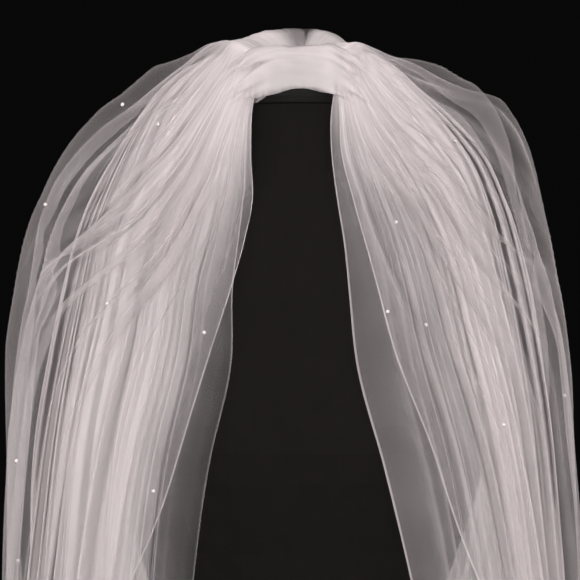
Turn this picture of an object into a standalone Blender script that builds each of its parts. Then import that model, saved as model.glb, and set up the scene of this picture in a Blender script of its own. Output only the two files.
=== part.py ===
"""A two-tier bridal veil of tulle, gathered onto a comb, on a limbless dress form.

Metres, +Z up, and the front faces -Y. The origin is on the floor, under the pole's axis. The veil and the
body are worked out in millimetres from the rim of the neck cap, and placed from there.
"""

import math
from collections import namedtuple

import bmesh
import bpy
import numpy as np
from mathutils import Vector

MM = 0.001
GAP = 0.3  # mm between pieces that touch

# Driving dimensions. Millimetres, with heights above (+) or below (-) the rim of the neck cap.
RIM_HEIGHT = 1420.0  # from the floor to the rim of the neck cap
CAP_RADIUS = 54.0
CAP_EDGE = 6.0  # height of the cap's upright edge
CAP_DOME = 12.0  # rise of the cap's dome over its rim
CAP_CORNER = 1.0  # how far the cap's lower corner is cut back
CAP_RINGS = 6
BODY_LENGTH = 760.0  # from the rim down to the underside at the hip
BODY_COLUMNS = 40
BODY_ROWS = 30
POLE_RADIUS = 16.0
POLE_WALL = 1.5
BASE_RADIUS = 190.0
BASE_EDGE = 10.0  # height of the foot's upright edge
BASE_RISE = 8.0  # how much higher the foot is at the pole
BASE_CORNER = 3.0  # how far the foot's upper corner is cut back
BASE_HUB = 24.0  # radius of the level place round the pole
ROUND_STEPS = 48

COMB_WIDTH = 76.0
COMB_BAR_DEPTH = 9.0  # front to back
COMB_BAR_FRONT = -3.0  # where the bar's front face is, along Y
COMB_BAR_THICK = 3.0
COMB_TEETH = 19
COMB_TOOTH_LENGTH = 34.0
COMB_TOOTH_TAPER = 0.45
COMB_CLEARANCE = 0.65  # over the dome, because the bar's corners bridge its curve

CLOTH_WALL = 1.2
TIER_COLUMNS = 90
FALL_STEPS = 400  # how finely a line down the cloth is measured

# A tier's cut: the flat cloth's width, its length from the gathers to the hem, and the radius of its
# rounded lower corners.
Cut = namedtuple("Cut", "width length corner")
UPPER_CUT = Cut(1524.0, 760.0, 340.0)
LOWER_CUT = Cut(2740.0, 910.0, 420.0)

# One row is one section round a tier, from the gathers down. left and right are how far it reaches to each
# side, front and back how deep it is, and the up columns its heights: behind, at the sides, and at its two
# front edges, whose places across are edge_left and edge_right.
Section = namedtuple(
    "Section",
    "left right front back back_up left_up right_up edge_left edge_left_up edge_right edge_right_up",
)
LOWER_SECTIONS = (
    Section(42.5, 40.5, 0, 5, 16.8, 10.4, 10.7, -38.5, 10.9, 36.5, 11.3),
    Section(46, 43, 39, 12, 33, 30, 30, -38, 12, 34, 13),
    Section(62, 56, 57, 25, 46, 40, 42, -41, 2, 31, 5),
    Section(88, 76, 57, 44, 48, 32, 34, -43, -17, 28, -17),
    Section(120, 104, 61, 74, 38, 12, 11, -44, -50, 28.5, -52),
    Section(146, 135, 75, 104, 14, -19, -14, -46, -88, 33, -90),
    Section(166, 160, 92, 128, -18, -54, -42, -50, -124, 38.5, -127),
    Section(185, 180, 112, 148, -58, -95, -82, -54.5, -164, 42, -166),
    Section(203, 199, 135, 165, -120, -157, -144, -55, -225, 48, -228),
    Section(217, 214, 159, 178, -209, -246, -233, -73, -310, 70, -312),
    Section(228, 226, 173, 186, -368, -405, -392, -92, -465, 105, -468),
    Section(237, 235, 190, 193, -760, -795, -783, -120, -850, 135, -853),
)
UPPER_SECTIONS = (
    Section(37.5, 35.5, 0, 1, 16.6, 11.1, 11.4, -34, 11.6, 32, 12.0),
    Section(41, 38, 36, 5, 43, 39, 39, -34, 21, 32.5, 22),
    Section(56, 50, 58, 18, 60, 51, 53, -35, 12, 33.5, 13),
    Section(76, 68, 75, 38, 67, 52, 51, -39, -13, 35, -13),
    Section(110, 103, 84, 70, 59, 37, 42, -40, -50, 36.5, -50),
    Section(145, 140, 98, 105, 34, 15, 24, -38.5, -90, 46, -90),
    Section(174, 172, 119, 136, 3, -9, 5, -45, -125, 55, -125),
    Section(206, 196, 142, 160, -34, -42, -24, -55, -162, 64.5, -162),
    Section(237, 220, 168, 183, -90, -94, -84, -72.5, -218, 79, -218),
    Section(257, 240, 193, 202, -178, -180, -170, -97, -300, 110, -300),
    Section(270, 256, 216, 213, -337, -338, -330, -138, -450, 146, -450),
    Section(279, 266, 238, 220, -640, -640, -632, -165, -740, 172, -740),
)

# Where the CAD rows of a tier lie, in millimetres of cloth below the gathers.
ROWS_DOWN = (0, 14, 30, 50, 75, 108, 150, 205, 280, 385, 540)

# One row is one main fold. Where it lies round the tier (-1 left front edge, 0 centre back, 1 right front
# edge), its half-width there, how far it sinks in (+) or stands out (-), the cloth below the gathers at which
# it starts and is full, and how far it drifts round by the hem.
Fold = namedtuple("Fold", "where width depth starts full lean")
LOWER_FOLDS = (
    Fold(-0.93, 0.035, 5, 90, 260, -0.01),
    Fold(-0.82, 0.030, -6, 70, 300, -0.02),
    Fold(-0.71, 0.045, 8, 60, 220, -0.01),
    Fold(-0.60, 0.032, -6, 120, 330, 0.01),
    Fold(-0.49, 0.050, 9, 80, 260, 0.02),
    Fold(-0.36, 0.038, -8, 70, 280, 0.00),
    Fold(-0.25, 0.045, 9, 90, 320, 0.02),
    Fold(-0.13, 0.035, -7, 60, 240, -0.01),
    Fold(-0.02, 0.048, 9, 80, 300, -0.02),
    Fold(0.11, 0.040, -8, 70, 260, 0.01),
    Fold(0.22, 0.036, 8, 100, 340, 0.02),
    Fold(0.34, 0.050, -8, 70, 270, 0.00),
    Fold(0.46, 0.042, 9, 60, 240, -0.02),
    Fold(0.57, 0.034, -6, 110, 320, -0.01),
    Fold(0.68, 0.046, 8, 80, 250, 0.01),
    Fold(0.80, 0.034, -6, 90, 310, 0.02),
    Fold(0.91, 0.036, 5, 80, 280, 0.01),
)
UPPER_FOLDS = (
    Fold(-0.90, 0.040, 8, 120, 320, -0.01),
    Fold(-0.77, 0.050, -9, 90, 300, -0.02),
    Fold(-0.63, 0.045, 12, 110, 360, 0.01),
    Fold(-0.50, 0.055, -10, 80, 300, 0.02),
    Fold(-0.35, 0.045, 11, 100, 340, 0.01),
    Fold(-0.20, 0.050, -10, 90, 280, -0.02),
    Fold(-0.06, 0.045, 12, 80, 320, 0.01),
    Fold(0.08, 0.050, -9, 100, 300, 0.02),
    Fold(0.23, 0.045, 11, 90, 330, -0.01),
    Fold(0.38, 0.055, -10, 80, 290, 0.01),
    Fold(0.52, 0.045, 12, 110, 350, 0.02),
    Fold(0.66, 0.050, -9, 90, 300, 0.00),
    Fold(0.79, 0.042, 10, 100, 330, -0.01),
    Fold(0.92, 0.040, -6, 120, 340, 0.00),
)

# One row is one section of the padded body, from the neck down: its height, its half-width, its depth to
# the front and to the back, and how square it is (2 is an ellipse).
BodySection = namedtuple("BodySection", "up half_width front back square")
BODY_SECTIONS = (
    BodySection(-CAP_EDGE - GAP, 51, 51, 51, 2.0),
    BodySection(-30, 50, 50, 51, 2.0),
    BodySection(-54, 53, 51, 56, 2.0),
    BodySection(-70, 62, 53, 64, 2.0),
    BodySection(-81, 84, 56, 71, 2.0),
    BodySection(-92, 113, 59, 77, 2.1),
    BodySection(-104, 138, 62, 82, 2.2),
    BodySection(-119, 155, 66, 87, 2.3),
    BodySection(-140, 164, 72, 93, 2.4),
    BodySection(-175, 166, 82, 101, 2.4),
    BodySection(-230, 163, 98, 106, 2.4),
    BodySection(-275, 163, 110, 106, 2.3),
    BodySection(-310, 163, 115, 104, 2.3),
    BodySection(-350, 154, 110, 98, 2.3),
    BodySection(-400, 137, 101, 90, 2.2),
    BodySection(-475, 119, 95, 84, 2.2),
    BodySection(-530, 131, 100, 92, 2.2),
    BodySection(-600, 155, 109, 108, 2.3),
    BodySection(-680, 168, 114, 119, 2.3),
    BodySection(-BODY_LENGTH, 163, 108, 113, 2.3),
)
BUST_OUT = 14.0  # how far the bust stands out from the front
BUST_APART = 72.0  # from the centre line to its fullest place
BUST_UP = -300.0
BUST_WIDTH = 44.0
BUST_HEIGHT = 50.0


def remove_scene_objects():
    for thing in list(bpy.data.objects):
        bpy.data.objects.remove(thing, do_unlink=True)


def make_material(name, colour, roughness, metallic=0.0):
    material = bpy.data.materials.new(name)
    material.use_nodes = True
    shader = material.node_tree.nodes["Principled BSDF"]
    shader.inputs["Base Color"].default_value = (*colour, 1.0)
    shader.inputs["Roughness"].default_value = roughness
    shader.inputs["Metallic"].default_value = metallic
    return material


def finish_object(name, mesh, material, sharp_degrees=40.0):
    """Turns a finished bmesh into a named object, smooth but for its sharp edges."""
    data = bpy.data.meshes.new(name)
    mesh.to_mesh(data)
    mesh.free()
    data.materials.append(material)
    data.shade_smooth()
    data.set_sharp_from_angle(angle=math.radians(sharp_degrees))
    made = bpy.data.objects.new(name, data)
    bpy.context.scene.collection.objects.link(made)
    return made


def smooth_step(value):
    """0 below 0, 1 above 1, and a soft rise between them."""
    part = np.clip(value, 0.0, 1.0)
    return part * part * (3.0 - 2.0 * part)


def from_rim(point):
    """A point in millimetres from the rim, as metres from the floor."""
    return Vector((point[0], point[1], point[2] + RIM_HEIGHT)) * MM


def dome_height(x, y):
    """Height of the neck cap's dome over its rim."""
    return CAP_DOME * (1.0 - (x * x + y * y) / CAP_RADIUS**2)


# ---- the cloth ----


def section_points(section, across):
    """Points round one section of a tier. across runs from -1, the left front edge, by the back, to 1."""
    is_left = across < 0
    reach = np.where(is_left, section.left, section.right)
    side_up = np.where(is_left, section.left_up, section.right_up)
    edge_out = np.where(is_left, -section.edge_left, section.edge_right)
    edge_up = np.where(is_left, section.edge_left_up, section.edge_right_up)
    last_turn = np.arcsin(edge_out / reach)
    if section.front > 0:
        last_turn = math.pi - last_turn
    turn = np.abs(across) * last_turn  # 0 at the back, a quarter turn at the side
    in_front = turn > math.pi / 2
    x = np.sign(across) * reach * np.sin(turn)
    y = np.where(in_front, section.front, section.back) * np.cos(turn)
    to_side = np.sin(np.minimum(turn, math.pi / 2)) ** 2
    front_turn = np.maximum(last_turn - math.pi / 2, 1e-6)
    to_edge = smooth_step((turn - math.pi / 2) / front_turn)
    z = section.back_up + (side_up - section.back_up) * to_side + (edge_up - side_up) * to_edge
    return np.stack([x, y, z], axis=-1)


def smooth_between(knots, values, wanted):
    """A smooth curve through values at the knots, read at the wanted places."""
    slopes = np.gradient(values, knots, axis=0)
    index = np.clip(np.searchsorted(knots, wanted, side="right") - 1, 0, len(knots) - 2)
    step = (knots[index + 1] - knots[index])[:, None]
    part = (wanted[:, None] - knots[index][:, None]) / step
    start, end = values[index], values[index + 1]
    start_slope, end_slope = slopes[index] * step, slopes[index + 1] * step
    return (
        start * (1 + 2 * part) * (1 - part) ** 2
        + start_slope * part * (1 - part) ** 2
        + end * part**2 * (3 - 2 * part)
        + end_slope * part**2 * (part - 1)
    )


def fall_line(section_rings, column, distances):
    """Points down one line of the cloth, at true distances along it from the gathers."""
    guide = section_rings[:, column, :]
    chords = np.linalg.norm(np.diff(guide, axis=0), axis=1)
    knots = np.concatenate([[0.0], np.cumsum(chords)])
    fine = smooth_between(knots, guide, np.linspace(0.0, knots[-1], FALL_STEPS))
    run = np.concatenate([[0.0], np.cumsum(np.linalg.norm(np.diff(fine, axis=0), axis=1))])
    return np.stack([np.interp(distances, run, fine[:, axis]) for axis in range(3)], axis=-1)


def hem_length(cut, across):
    """Length of the cloth at a place across it, shorter where the lower corners are rounded."""
    from_edge = (1.0 - np.abs(across)) * cut.width / 2
    inside = np.clip(cut.corner - from_edge, 0.0, cut.corner)
    return cut.length - cut.corner + np.sqrt(cut.corner**2 - inside**2)


def fold_depth(folds, across, down, length):
    """How far the main folds sink in at a place."""
    depth = np.zeros(np.broadcast(across, down).shape)
    for fold in folds:
        centre = fold.where + fold.lean * down / length
        grown = smooth_step((down - fold.starts) / (fold.full - fold.starts))
        depth += fold.depth * grown * np.exp(-(((across - centre) / fold.width) ** 2))
    return depth


def tier_grid(sections, folds, cut, columns):
    """Points of a tier, as rows down the cloth by columns across it."""
    across = np.linspace(-1.0, 1.0, columns + 1)
    rings = np.stack([section_points(section, across) for section in sections])
    rows = np.array([*ROWS_DOWN, cut.length]) / cut.length
    points = np.empty((len(rows), len(across), 3))
    down = np.empty((len(rows), len(across)))
    for column, place in enumerate(across):
        down[:, column] = rows * hem_length(cut, place)
        points[:, column] = fall_line(rings, column, down[:, column])
    outward = np.cross(np.gradient(points, axis=1), np.gradient(points, axis=0))
    outward /= np.linalg.norm(outward, axis=-1, keepdims=True)
    return points - outward * fold_depth(folds, across[None, :], down, cut.length)[..., None]


def make_tier(name, sections, folds, cut, material):
    """A grid laid on the tier's surface, and thickened to a closed wall."""
    points = tier_grid(sections, folds, cut, TIER_COLUMNS)
    rows, columns = points.shape[:2]
    mesh = bmesh.new()
    bmesh.ops.create_grid(mesh, x_segments=columns - 1, y_segments=rows - 1, size=1.0)
    for vertex in mesh.verts:
        column = round((vertex.co.x + 1.0) / 2.0 * (columns - 1))
        row = round((1.0 - vertex.co.y) / 2.0 * (rows - 1))
        vertex.co = from_rim(points[row, column])
    made = finish_object(name, mesh, material)
    wall = made.modifiers.new("wall", "SOLIDIFY")
    wall.thickness = CLOTH_WALL * MM
    wall.offset = 0.0
    wall.use_rim = True
    return made


# ---- the comb ----


def make_comb(material):
    """A bar bent over the cap's dome, with tapered teeth drawn out of its back."""
    segments = 2 * COMB_TEETH - 1
    mesh = bmesh.new()
    bmesh.ops.create_cube(mesh, size=1.0)
    long_edges = [e for e in mesh.edges if abs(e.verts[0].co.x - e.verts[1].co.x) > 0.5]
    bmesh.ops.subdivide_edges(mesh, edges=long_edges, cuts=segments - 1, use_grid_fill=True)
    for vertex in mesh.verts:
        x = vertex.co.x * COMB_WIDTH
        y = COMB_BAR_FRONT + (vertex.co.y + 0.5) * COMB_BAR_DEPTH
        under = dome_height(x, 0.0) + COMB_CLEARANCE
        vertex.co = (x, y, under + (vertex.co.z + 0.5) * COMB_BAR_THICK)
    mesh.normal_update()
    backs = sorted((f for f in mesh.faces if f.normal.y > 0.9), key=lambda f: f.calc_center_median().x)
    made = bmesh.ops.extrude_discrete_faces(mesh, faces=backs[::2])
    for face in made["faces"]:
        centre = face.calc_center_median()
        bmesh.ops.translate(mesh, verts=list(face.verts), vec=(0.0, COMB_TOOTH_LENGTH, 0.0))
        for vertex in face.verts:
            vertex.co.x = centre.x + (vertex.co.x - centre.x) * COMB_TOOTH_TAPER
            vertex.co.z = centre.z + (vertex.co.z - centre.z) * COMB_TOOTH_TAPER
    for vertex in mesh.verts:
        vertex.co = from_rim(vertex.co)
    return finish_object("comb", mesh, material)


# ---- the dress form ----


def body_outline(up):
    """Half-width, front, back and squareness of the body at the given heights."""
    table = np.array(BODY_SECTIONS, dtype=float)
    return smooth_between(-table[:, 0], table[:, 1:], -np.asarray(up, dtype=float))


def body_ring(up, outline, columns):
    """Points round the body at one height, from the centre back."""
    half_width, front, back, square = outline
    turn = np.linspace(0.0, 2.0 * math.pi, columns, endpoint=False)
    power = 2.0 / square
    x = half_width * np.sign(np.sin(turn)) * np.abs(np.sin(turn)) ** power
    depth = np.where(np.cos(turn) < 0, front, back)
    y = depth * np.sign(np.cos(turn)) * np.abs(np.cos(turn)) ** power
    rise = math.exp(-(((up - BUST_UP) / BUST_HEIGHT) ** 2))
    lobes = np.exp(-(((np.abs(x) - BUST_APART) / BUST_WIDTH) ** 2))
    y = np.where(y < 0, y - BUST_OUT * rise * lobes * np.minimum(1.0, -y / front * 1.4), y)
    return np.stack([x, y, np.full_like(x, up)], axis=-1)


def make_body(material):
    """Rings drawn down from the neck to the hip, closed above and below."""
    knots = np.array([-section.up for section in BODY_SECTIONS])
    heights = -np.interp(
        np.linspace(0, len(knots) - 1, BODY_ROWS), np.arange(len(knots)), knots
    )
    outlines = body_outline(heights)
    mesh = bmesh.new()
    neck_ring = bmesh.ops.create_circle(mesh, segments=BODY_COLUMNS, radius=1.0)["verts"]
    face = mesh.faces.new(neck_ring)
    for row, (up, outline) in enumerate(zip(heights, outlines)):
        if row:
            face = bmesh.ops.extrude_discrete_faces(mesh, faces=[face])["faces"][0]
        for vertex, point in zip(face.verts, body_ring(up, outline, BODY_COLUMNS)):
            vertex.co = from_rim(point)
    mesh.faces.new(neck_ring)
    bmesh.ops.recalc_face_normals(mesh, faces=mesh.faces)
    return finish_object("form_torso", mesh, material)


def spin_profile(name, profile, material, sharp_degrees=40.0):
    """Turns a profile of (radius, height) points, in metres, once round Z."""
    mesh = bmesh.new()
    points = [mesh.verts.new((radius, 0.0, height)) for radius, height in profile]
    edges = [mesh.edges.new(pair) for pair in zip(points, points[1:])]
    bmesh.ops.spin(
        mesh,
        geom=points + edges,
        cent=(0.0, 0.0, 0.0),
        axis=(0.0, 0.0, 1.0),
        angle=2.0 * math.pi,
        steps=ROUND_STEPS,
        use_merge=True,
    )
    bmesh.ops.remove_doubles(mesh, verts=mesh.verts, dist=1e-6)
    bmesh.ops.recalc_face_normals(mesh, faces=mesh.faces)
    return finish_object(name, mesh, material, sharp_degrees)


def make_neck_cap(material):
    """A low dome with an upright edge."""
    dome = []
    for step in range(CAP_RINGS + 1):
        radius = CAP_RADIUS * (1.0 - step / CAP_RINGS)
        dome.append((radius, dome_height(radius, 0.0)))
    under = [(0.0, -CAP_EDGE), (CAP_RADIUS - CAP_CORNER, -CAP_EDGE), (CAP_RADIUS, CAP_CORNER - CAP_EDGE)]
    return spin_profile(
        "form_neck_cap", [(r * MM, (z + RIM_HEIGHT) * MM) for r, z in under + dome], material, 30.0
    )


def make_pole(material):
    """A steel tube from the foot to the underside of the body."""
    low = BASE_EDGE + BASE_RISE + GAP
    high = RIM_HEIGHT - BODY_LENGTH - GAP
    inner = POLE_RADIUS - POLE_WALL
    profile = [(inner, low), (POLE_RADIUS, low), (POLE_RADIUS, high), (inner, high), (inner, low)]
    return spin_profile("form_pole", [(r * MM, z * MM) for r, z in profile], material)


def make_base(material):
    """A flat round foot that rises a little to the pole."""
    top = BASE_EDGE + BASE_RISE
    profile = [
        (0.0, 0.0),
        (BASE_RADIUS, 0.0),
        (BASE_RADIUS, BASE_EDGE - BASE_CORNER),
        (BASE_RADIUS - BASE_CORNER, BASE_EDGE),
        (BASE_HUB, top),
        (0.0, top),
    ]
    return spin_profile("form_base", [(r * MM, z * MM) for r, z in profile], material, 30.0)


def main():
    remove_scene_objects()
    tulle = make_material("white tulle", (0.82, 0.78, 0.78), 0.7)
    comb_plastic = make_material("white comb plastic", (0.75, 0.74, 0.72), 0.35)
    jersey = make_material("black jersey", (0.010, 0.009, 0.009), 0.9)
    cap_lacquer = make_material("black cap", (0.012, 0.011, 0.011), 0.5)
    steel = make_material("black enamelled steel", (0.02, 0.02, 0.02), 0.35)
    make_tier("veil_lower_tier", LOWER_SECTIONS, LOWER_FOLDS, LOWER_CUT, tulle)
    make_tier("veil_upper_tier", UPPER_SECTIONS, UPPER_FOLDS, UPPER_CUT, tulle)
    make_comb(comb_plastic)
    make_body(jersey)
    make_neck_cap(cap_lacquer)
    make_pole(steel)
    make_base(steel)


main()
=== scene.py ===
# %% [markdown]
# # A two-tier bridal veil of tulle on a black dress form
#
# The veil is two wide pieces of net, gathered to a narrow seam on a comb. The comb lies on the neck cap of a
# limbless dress form. Both tiers stand up from it in a puffed crown, fall over the shoulders and hang open at
# the front. The shorter upper tier is the sheerer one, and stands out from the fuller lower one.
#
# The solid parts are already modelled and come in as a fixed frame. This lesson gives them their finish, and
# makes the cloth as thin sheets in the place of the two plain walls that stand for it.

# %% Load the frame
import math
from collections import namedtuple

import bmesh
import bpy
import numpy as np
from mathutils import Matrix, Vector
from mathutils.bvhtree import BVHTree


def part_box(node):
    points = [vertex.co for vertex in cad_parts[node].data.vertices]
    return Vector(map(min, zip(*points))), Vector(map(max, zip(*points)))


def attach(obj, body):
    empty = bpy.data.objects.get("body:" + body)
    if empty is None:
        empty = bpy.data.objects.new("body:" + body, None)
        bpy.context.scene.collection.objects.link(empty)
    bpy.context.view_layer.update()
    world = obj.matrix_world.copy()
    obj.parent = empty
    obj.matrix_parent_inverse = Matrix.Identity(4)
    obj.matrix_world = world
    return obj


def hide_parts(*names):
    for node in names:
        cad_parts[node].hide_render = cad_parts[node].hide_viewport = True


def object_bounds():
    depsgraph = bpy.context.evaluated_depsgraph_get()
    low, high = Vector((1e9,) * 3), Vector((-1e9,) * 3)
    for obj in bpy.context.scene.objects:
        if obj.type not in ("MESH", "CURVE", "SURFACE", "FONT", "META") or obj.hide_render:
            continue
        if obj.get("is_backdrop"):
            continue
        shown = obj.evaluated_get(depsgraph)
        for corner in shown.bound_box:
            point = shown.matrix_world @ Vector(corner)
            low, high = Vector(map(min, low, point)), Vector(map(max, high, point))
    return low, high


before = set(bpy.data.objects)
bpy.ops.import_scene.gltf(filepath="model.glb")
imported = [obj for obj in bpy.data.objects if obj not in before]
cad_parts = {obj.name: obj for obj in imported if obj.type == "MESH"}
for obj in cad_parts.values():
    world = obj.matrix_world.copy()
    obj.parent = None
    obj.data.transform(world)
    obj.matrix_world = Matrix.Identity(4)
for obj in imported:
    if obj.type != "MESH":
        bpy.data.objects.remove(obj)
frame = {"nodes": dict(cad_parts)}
cad_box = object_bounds()
nodes = frame["nodes"]
MM = 0.001


def add_object(name, data):
    """A new object in the scene, where its data puts it."""
    made = bpy.data.objects.new(name, data)
    bpy.context.scene.collection.objects.link(made)
    return made


print("frame:", ", ".join(sorted(nodes)))

# %% [markdown]
# ## Camera
#
# The veil is seen from straight ahead and fairly near, so the camera stands level with its crown, 2.4 metres
# away, and a long lens frames about half a metre of it. Everything is measured from the rim of the neck cap,
# because the veil starts there.

# %% Camera
RIM_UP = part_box("form_torso")[1].z + 0.0063  # the body ends a hair under the cap, which is 6 mm thick
CAMERA_AWAY = 2.4
FRAME_WIDTH = 0.5075  # what the picture spans, in the plane of the neck
FRAME_CENTRE = (-0.007, -0.16625)  # across, and below the rim
SENSOR = 36.0

camera_data = bpy.data.cameras.new("camera")
camera_data.sensor_width = SENSOR
camera_data.lens = SENSOR * CAMERA_AWAY / FRAME_WIDTH
camera_data.clip_end = 50.0
camera = add_object("camera", camera_data)
camera.location = (FRAME_CENTRE[0], -CAMERA_AWAY, RIM_UP + FRAME_CENTRE[1])
camera.rotation_euler = (math.pi / 2, 0.0, 0.0)
bpy.context.scene.camera = camera
print("rim of the neck cap at", round(RIM_UP, 4), "m, lens", round(camera_data.lens, 1), "mm")

# %% [markdown]
# ## Light, floor and room
#
# Net shows best against the dark, lit softly from many sides: every thread then catches some light, and what
# makes one place brighter than another is how much net the eye looks through. So the room is nearly black,
# and large soft lamps stand in front, at both sides, above and behind. The lamps in front and the low one
# behind have narrowed beams, which keep their light on the veil. The floor is plain and pale.

# %% Light, floor and room
scene = bpy.context.scene
scene.view_settings.view_transform = "Standard"
scene.cycles.transparent_max_bounces = 48
scene.cycles.diffuse_bounces = 8  # white threads pass light on many times

room = bpy.data.worlds.new("dark studio")
room.use_nodes = True
room.node_tree.nodes["Background"].inputs["Color"].default_value = (0.0027, 0.0026, 0.0026, 1.0)
scene.world = room


def add_soft_lamp(name, place, target, size, watts, spread=180.0):
    """A square lamp of that size, in metres, that faces the target and isn't seen itself."""
    data = bpy.data.lights.new(name, "AREA")
    data.size = size
    data.spread = math.radians(spread)
    data.energy = watts
    lamp = add_object(name, data)
    lamp.location = place
    lamp.rotation_euler = (Vector(target) - Vector(place)).to_track_quat("-Z", "Y").to_euler()
    lamp.visible_camera = False


CROWN = (0.0, 0.0, RIM_UP - 0.05)
BODY = (0.0, 0.0, RIM_UP - 0.55)
add_soft_lamp("front lamp", (-0.15, -2.7, 1.62), CROWN, 0.9, 13.6, spread=70.0)
add_soft_lamp("front fill", (0.9, -2.5, 1.3), CROWN, 1.4, 3.9, spread=70.0)
add_soft_lamp("left lamp", (-2.6, -0.3, 1.7), CROWN, 1.5, 42.0)
add_soft_lamp("right lamp", (2.6, -0.1, 1.7), CROWN, 1.5, 42.0)
add_soft_lamp("top lamp", (0.0, -0.4, 3.3), CROWN, 1.5, 17.0)
add_soft_lamp("back lamp", (0.4, 2.8, 1.9), CROWN, 1.8, 36.0)
add_soft_lamp("back fill", (-0.8, 2.7, 0.9), BODY, 1.4, 7.0, spread=70.0)

floor_mesh = bmesh.new()
bmesh.ops.create_grid(floor_mesh, x_segments=1, y_segments=1, size=3.0)
floor_data = bpy.data.meshes.new("floor")
floor_mesh.to_mesh(floor_data)
floor_mesh.free()
floor = add_object("floor", floor_data)
floor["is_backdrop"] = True

# %% [markdown]
# ## The form that the cloth lies on
#
# Each tier is described by a few level sections, from the gathers at the comb down to the hem: how far it
# reaches to each side, to the front and to the back, and how high it is behind, at its sides and at its two
# front edges. They are the same sections that the plain walls were made from, so the cloth lies where its
# wall is. Sizes are millimetres, from the rim of the neck cap.

# %% Sections of both tiers
Section = namedtuple(
    "Section",
    "left right front back back_up left_up right_up edge_left edge_left_up edge_right edge_right_up",
)
LOWER_SECTIONS = [Section(*row) for row in (
    (42.5, 40.5, 0, 5, 16.8, 10.4, 10.7, -38.5, 10.9, 36.5, 11.3),
    (46, 43, 39, 12, 33, 30, 30, -38, 12, 34, 13),
    (62, 56, 57, 25, 46, 40, 42, -41, 2, 31, 5),
    (88, 76, 57, 44, 48, 32, 34, -43, -17, 28, -17),
    (120, 104, 61, 74, 38, 12, 11, -44, -50, 28.5, -52),
    (146, 135, 75, 104, 14, -19, -14, -46, -88, 33, -90),
    (166, 160, 92, 128, -18, -54, -42, -50, -124, 38.5, -127),
    (185, 180, 112, 148, -58, -95, -82, -54.5, -164, 42, -166),
    (203, 199, 135, 165, -120, -157, -144, -55, -225, 48, -228),
    (217, 214, 159, 178, -209, -246, -233, -73, -310, 70, -312),
    (228, 226, 173, 186, -368, -405, -392, -92, -465, 105, -468),
    (237, 235, 190, 193, -760, -795, -783, -120, -850, 135, -853),
)]
UPPER_SECTIONS = [Section(*row) for row in (
    (37.5, 35.5, 0, 1, 16.6, 11.1, 11.4, -34, 11.6, 32, 12.0),
    (41, 38, 36, 5, 43, 39, 39, -34, 21, 32.5, 22),
    (56, 50, 58, 18, 60, 51, 53, -35, 12, 33.5, 13),
    (76, 68, 75, 38, 67, 52, 51, -39, -13, 35, -13),
    (110, 103, 84, 70, 59, 37, 42, -40, -50, 36.5, -50),
    (145, 140, 98, 105, 34, 15, 24, -38.5, -90, 46, -90),
    (174, 172, 119, 136, 3, -9, 5, -45, -125, 55, -125),
    (206, 196, 142, 160, -34, -42, -24, -55, -162, 64.5, -162),
    (237, 220, 168, 183, -90, -94, -84, -72.5, -218, 79, -218),
    (257, 240, 193, 202, -178, -180, -170, -97, -300, 110, -300),
    (270, 256, 216, 213, -337, -338, -330, -138, -450, 146, -450),
    (279, 266, 238, 220, -640, -640, -632, -165, -740, 172, -740),
)]

# %% [markdown]
# A place on the form is named by how far round it is, from -1 at the left front edge by 0 at the centre back
# to 1 at the right front edge, and by how many millimetres of cloth lie above it. The lines that the cloth
# falls along are smooth curves through the sections, read at true distances.

# %% Points on the form
FORM_COLUMNS = 480


def smooth_step(value):
    """0 below 0, 1 above 1, and a soft rise between them."""
    part = np.clip(value, 0.0, 1.0)
    return part * part * (3.0 - 2.0 * part)


def section_points(section, across):
    """Points round one section, for places across from -1 to 1."""
    is_left = across < 0
    reach = np.where(is_left, section.left, section.right)
    side_up = np.where(is_left, section.left_up, section.right_up)
    edge_out = np.where(is_left, -section.edge_left, section.edge_right)
    edge_up = np.where(is_left, section.edge_left_up, section.edge_right_up)
    last_turn = np.arcsin(edge_out / reach)
    if section.front > 0:
        last_turn = math.pi - last_turn
    turn = np.abs(across) * last_turn
    x = np.sign(across) * reach * np.sin(turn)
    y = np.where(turn > math.pi / 2, section.front, section.back) * np.cos(turn)
    to_side = np.sin(np.minimum(turn, math.pi / 2)) ** 2
    front_turn = np.maximum(last_turn - math.pi / 2, 1e-6)
    to_edge = smooth_step((turn - math.pi / 2) / front_turn)
    z = section.back_up + (side_up - section.back_up) * to_side + (edge_up - side_up) * to_edge
    return np.stack([x, y, z], axis=-1)


def smooth_between(knots, values, wanted):
    """A smooth curve through values at the knots, read at the wanted places."""
    slopes = np.gradient(values, knots, axis=0)
    index = np.clip(np.searchsorted(knots, wanted, side="right") - 1, 0, len(knots) - 2)
    step = (knots[index + 1] - knots[index])[:, None]
    part = (wanted[:, None] - knots[index][:, None]) / step
    return (
        values[index] * (1 + 2 * part) * (1 - part) ** 2
        + slopes[index] * step * part * (1 - part) ** 2
        + values[index + 1] * part**2 * (3 - 2 * part)
        + slopes[index + 1] * step * part**2 * (part - 1)
    )


def run_along(points):
    """How far along a line each of its points is."""
    return np.concatenate([[0.0], np.cumsum(np.linalg.norm(np.diff(points, axis=0), axis=1))])


def fall_line(guide, distances):
    """Points down one line of the cloth, at true distances along it."""
    knots = run_along(guide)
    fine = smooth_between(knots, guide, np.linspace(0.0, knots[-1], 500))
    run = run_along(fine)
    return np.stack([np.interp(distances, run, fine[:, axis]) for axis in range(3)], axis=-1)


ROUND_FORM = np.linspace(-1.0, 1.0, FORM_COLUMNS + 1)


def unit_of(vectors):
    """Vectors brought to a length of 1."""
    return vectors / np.linalg.norm(vectors, axis=-1, keepdims=True)


def outward_of(points, distances):
    """The directions out of a surface, at its points."""
    return unit_of(np.cross(np.gradient(points, axis=1), np.gradient(points, distances, axis=0)))


def form_points(sections, distances):
    """Points of a tier's form, as rows down by columns across."""
    rings = np.stack([section_points(section, ROUND_FORM) for section in sections])
    return np.stack([fall_line(rings[:, column], distances) for column in range(FORM_COLUMNS + 1)], axis=1)


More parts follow.
